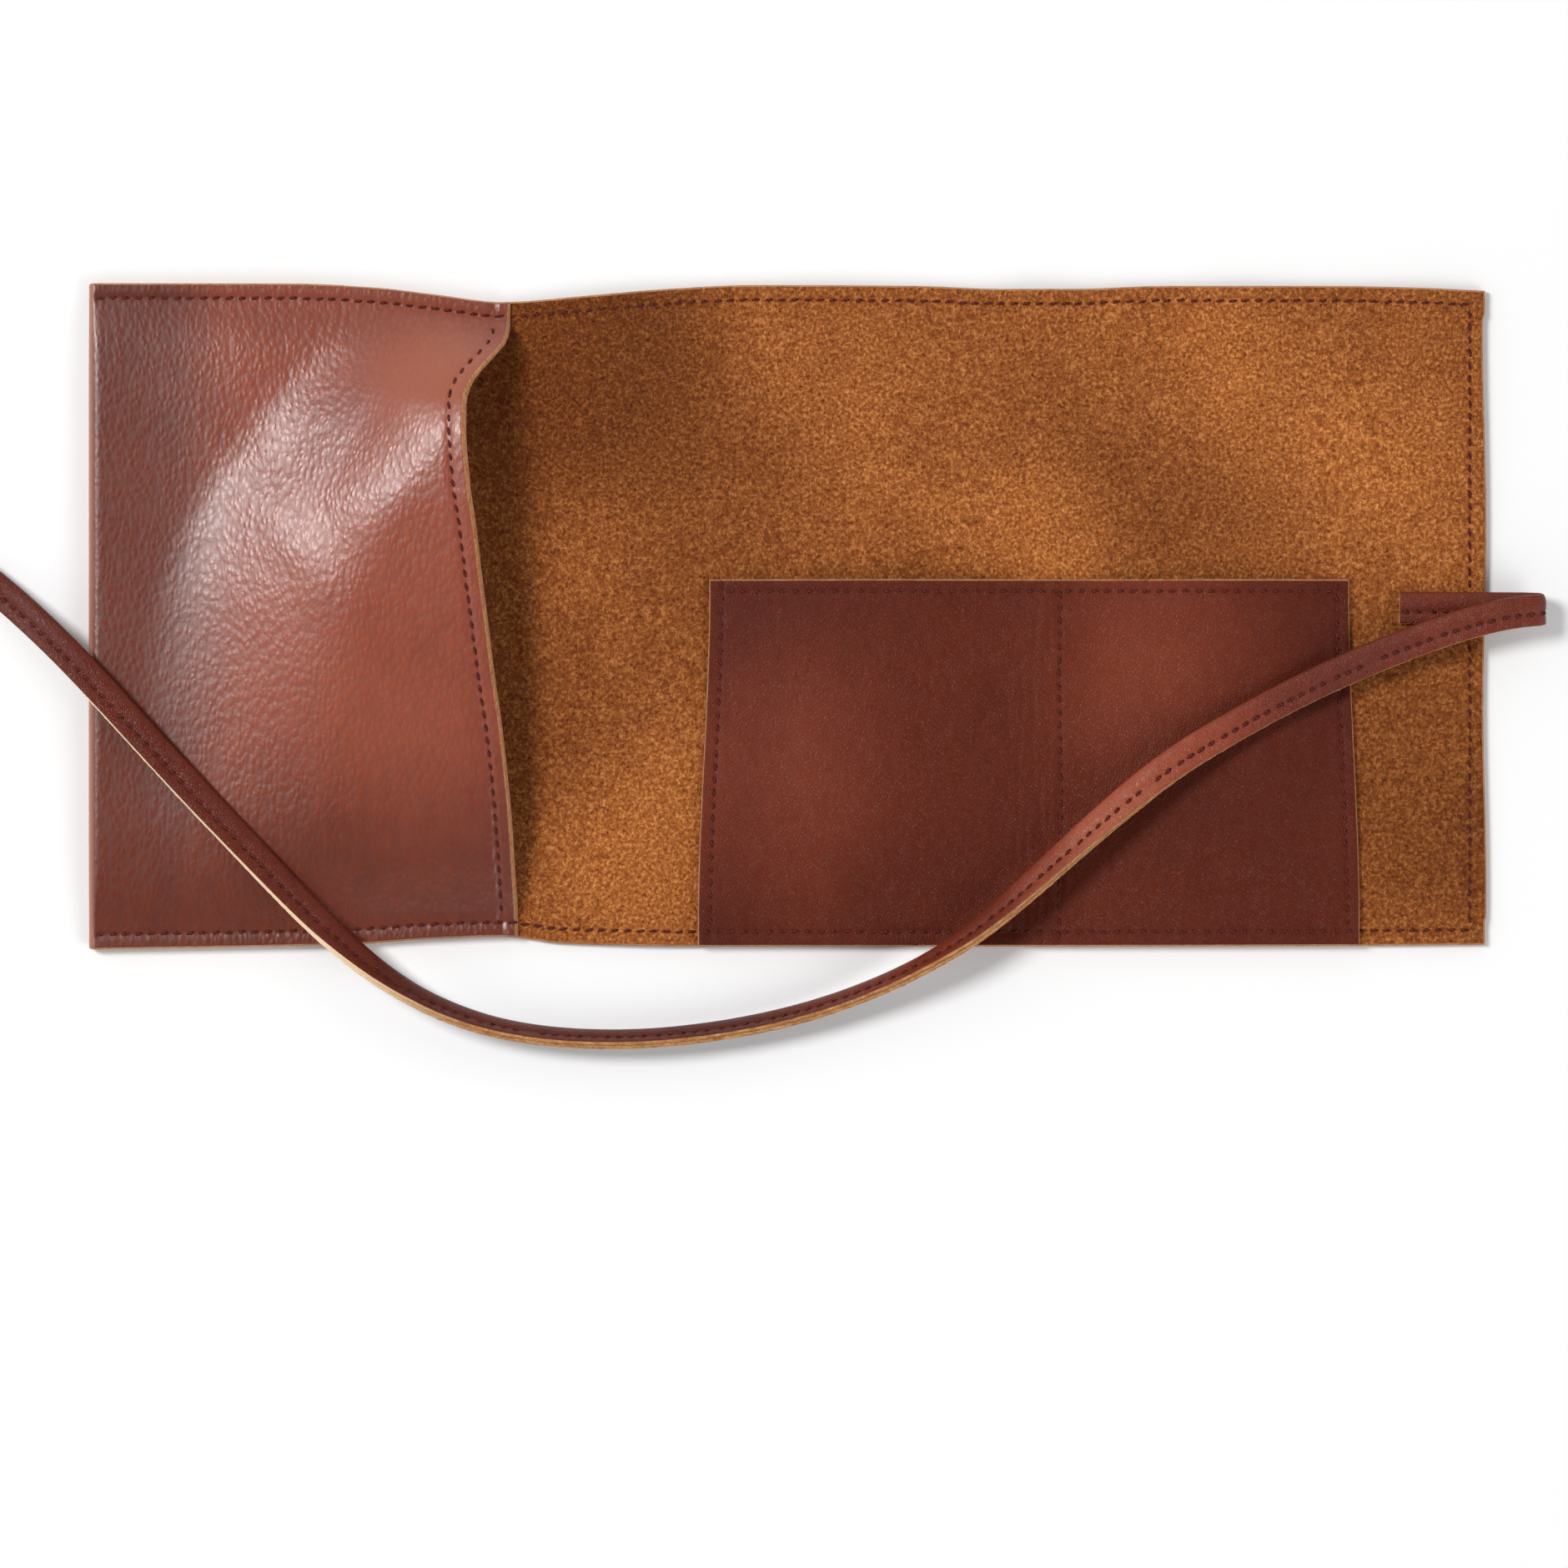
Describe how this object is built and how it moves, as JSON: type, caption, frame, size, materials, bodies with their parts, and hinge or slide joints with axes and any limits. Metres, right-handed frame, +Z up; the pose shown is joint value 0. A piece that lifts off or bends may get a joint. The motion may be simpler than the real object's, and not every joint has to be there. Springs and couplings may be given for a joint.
{
  "type": "leather roll case",
  "caption": "Leather roll-up case lying open: hide with a wide folded pocket, a stitched two-compartment slip pocket and a long wrap-round strap.",
  "frame": {"origin": "centre of the open case's footprint, on the surface it lies on, leaving out the strap", "axes": "+X along the open case from the folded pocket end to the strap end, +Y towards its long edge away from the slip pocket, +Z up"},
  "size_m": [0.3891, 0.1741, 0.0202],
  "materials": {
    "hide_leather": "pebbled smooth leather outside, golden brown suede inside",
    "small_pocket_leather": "smooth dark red-brown leather, satin",
    "strap_leather": "smooth dark red-brown leather with raw edges",
    "thread": "dark maroon waxed sewing thread"
  },
  "bodies": {
    "tail_panel": {"hide_tail": "hide_leather", "large_pocket_front_tail": "hide_leather", "edge_stitches_tail": "thread", "strap_tip": "strap_leather"},
    "core_side_panel": {"hide_core_side": "hide_leather", "large_pocket_front_side": "hide_leather", "edge_stitches_core_side": "thread", "strap_by_core_side": "strap_leather"},
    "core_top_panel": {"hide_core_top": "hide_leather", "large_pocket_front_mouth": "hide_leather", "edge_stitches_core_top": "thread", "strap_by_core_top": "strap_leather", "large_pocket_hem_stitches": "thread"},
    "front_side_panel": {"hide_front_side": "hide_leather", "small_pocket_left_edge": "small_pocket_leather", "edge_stitches_front_side": "thread", "strap_by_front": "strap_leather", "small_pocket_left_stitches": "thread", "small_pocket_hem_stitches_front": "thread"},
    "base_panel": {"hide_base": "hide_leather", "small_pocket_front_base": "small_pocket_leather", "edge_stitches_base": "thread", "strap_over_base": "strap_leather", "small_pocket_hem_stitches_base": "thread"},
    "back_side_panel": {"hide_back_side": "hide_leather", "small_pocket_front_back": "small_pocket_leather", "edge_stitches_back_side": "thread", "strap_over_back": "strap_leather", "small_pocket_divider_stitches": "thread", "small_pocket_hem_stitches_back": "thread"},
    "flap_panel": {"hide_flap": "hide_leather", "small_pocket_right_edge": "small_pocket_leather", "edge_stitches_flap": "thread", "strap_fold": "strap_leather", "strap_anchor": "strap_leather", "strap_anchor_stitches": "thread", "small_pocket_right_stitches": "thread", "small_pocket_hem_stitches_flap": "thread"}
  },
  "joints": [
    {"name": "roll_front", "type": "hinge", "parent": "base_panel", "child": "front_side_panel", "pos_m": [0, 0, 0.003], "axis": [0, 1, 0], "range_deg": [0, 90], "deforming": ["strap_over_base", "strap_by_front"]},
    {"name": "roll_top", "type": "hinge", "parent": "front_side_panel", "child": "core_top_panel", "pos_m": [-0.039, 0, 0.0016], "axis": [0, 1, 0], "range_deg": [0, 90], "deforming": ["strap_by_front", "strap_by_core_top"]},
    {"name": "roll_side", "type": "hinge", "parent": "core_top_panel", "child": "core_side_panel", "pos_m": [-0.089, 0, 0.0016], "axis": [0, 1, 0], "range_deg": [0, 90], "deforming": ["strap_by_core_top", "strap_by_core_side", "large_pocket_front_mouth", "large_pocket_front_side", "large_pocket_hem_stitches"]},
    {"name": "roll_tail", "type": "hinge", "parent": "core_side_panel", "child": "tail_panel", "pos_m": [-0.114, 0, 0.0016], "axis": [0, 1, 0], "range_deg": [0, 90], "deforming": ["strap_by_core_side", "strap_tip", "large_pocket_front_side", "large_pocket_front_tail"]},
    {"name": "flap_side", "type": "hinge", "parent": "base_panel", "child": "back_side_panel", "pos_m": [0.06, 0, 0.003], "axis": [0, -1, 0], "range_deg": [0, 90], "deforming": ["strap_over_base", "strap_over_back"]},
    {"name": "flap_top", "type": "hinge", "parent": "back_side_panel", "child": "flap_panel", "pos_m": [0.106, 0, 0.003], "axis": [0, -1, 0], "range_deg": [0, 90], "deforming": ["strap_over_back", "strap_fold"]}
  ]
}
